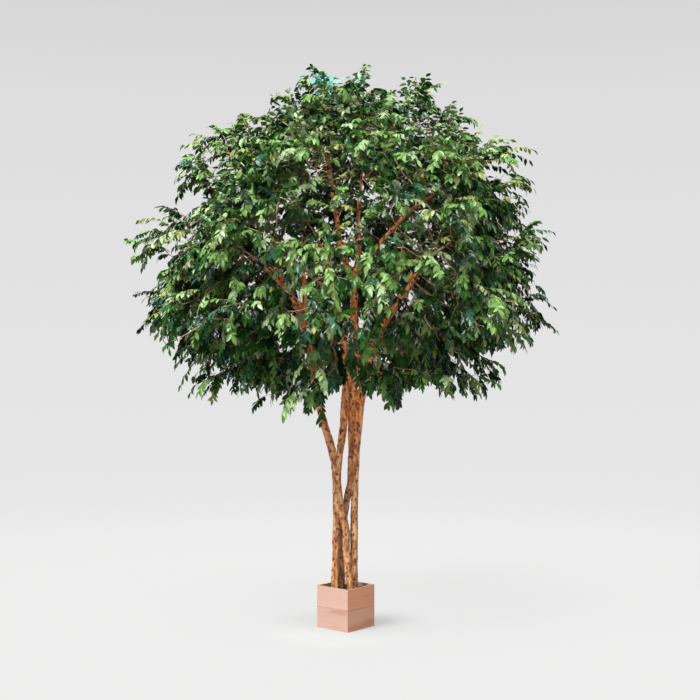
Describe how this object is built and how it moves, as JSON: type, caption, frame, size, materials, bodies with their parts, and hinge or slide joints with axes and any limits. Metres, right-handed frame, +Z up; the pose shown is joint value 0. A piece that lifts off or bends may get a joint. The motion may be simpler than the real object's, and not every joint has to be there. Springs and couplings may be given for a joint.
{
  "type": "artificial banyan tree",
  "caption": "Tall artificial banyan tree: bare natural-wood poles cross and fork up from a square timber planter into a broad rounded crown of glossy dark green leaves.",
  "frame": {"origin": "middle of the planter's underside, on the floor it stands on", "axes": "+Z up through the crown; X and Y square to the planter's sides"},
  "size_m": [3.7011, 3.599, 4.9969],
  "materials": {
    "pole_bark": "thin tan bark with dark knots and pits",
    "bough_bark": "thin orange-brown bark",
    "foliage": "glossy dark green leaves",
    "cedar": "smooth pale pink cedar boards",
    "fill": "dark bark chips"
  },
  "bodies": {
    "root": {"bough_back_left": "bough_bark", "bough_back_right": "bough_bark", "bough_front_left": "bough_bark", "bough_front_right": "bough_bark", "bough_high_right": "bough_bark", "bough_left": "bough_bark", "bough_low_back": "bough_bark", "bough_low_front": "bough_bark", "bough_low_left": "bough_bark", "bough_low_right": "bough_bark", "foliage_crest": "foliage", "foliage_low_1": "foliage", "foliage_low_2": "foliage", "foliage_low_3": "foliage", "foliage_low_4": "foliage", "foliage_low_5": "foliage", "foliage_low_6": "foliage", "foliage_low_7": "foliage", "foliage_middle_1": "foliage", "foliage_middle_2": "foliage", "foliage_middle_3": "foliage", "foliage_middle_4": "foliage", "foliage_middle_5": "foliage", "foliage_middle_6": "foliage", "foliage_middle_7": "foliage", "foliage_skirt_1": "foliage", "foliage_skirt_2": "foliage", "foliage_skirt_3": "foliage", "foliage_skirt_4": "foliage", "foliage_skirt_5": "foliage", "foliage_skirt_6": "foliage", "foliage_top_1": "foliage", "foliage_top_2": "foliage", "foliage_top_3": "foliage", "foliage_top_4": "foliage", "foliage_upper_1": "foliage", "foliage_upper_2": "foliage", "foliage_upper_3": "foliage", "foliage_upper_4": "foliage", "foliage_upper_5": "foliage", "foliage_upper_6": "foliage", "leader_centre_left": "bough_bark", "leader_centre_right": "bough_bark", "leader_crossing": "bough_bark", "leader_left": "bough_bark", "leader_right": "bough_bark", "planter_fill": "fill", "planter_floor": "cedar", "planter_lower_back": "cedar", "planter_lower_front": "cedar", "planter_lower_left": "cedar", "planter_lower_right": "cedar", "planter_upper_back": "cedar", "planter_upper_front": "cedar", "planter_upper_left": "cedar", "planter_upper_right": "cedar", "pole_back": "pole_bark", "pole_crossing": "pole_bark", "pole_left": "pole_bark", "pole_right": "pole_bark"}
  },
  "joints": []
}
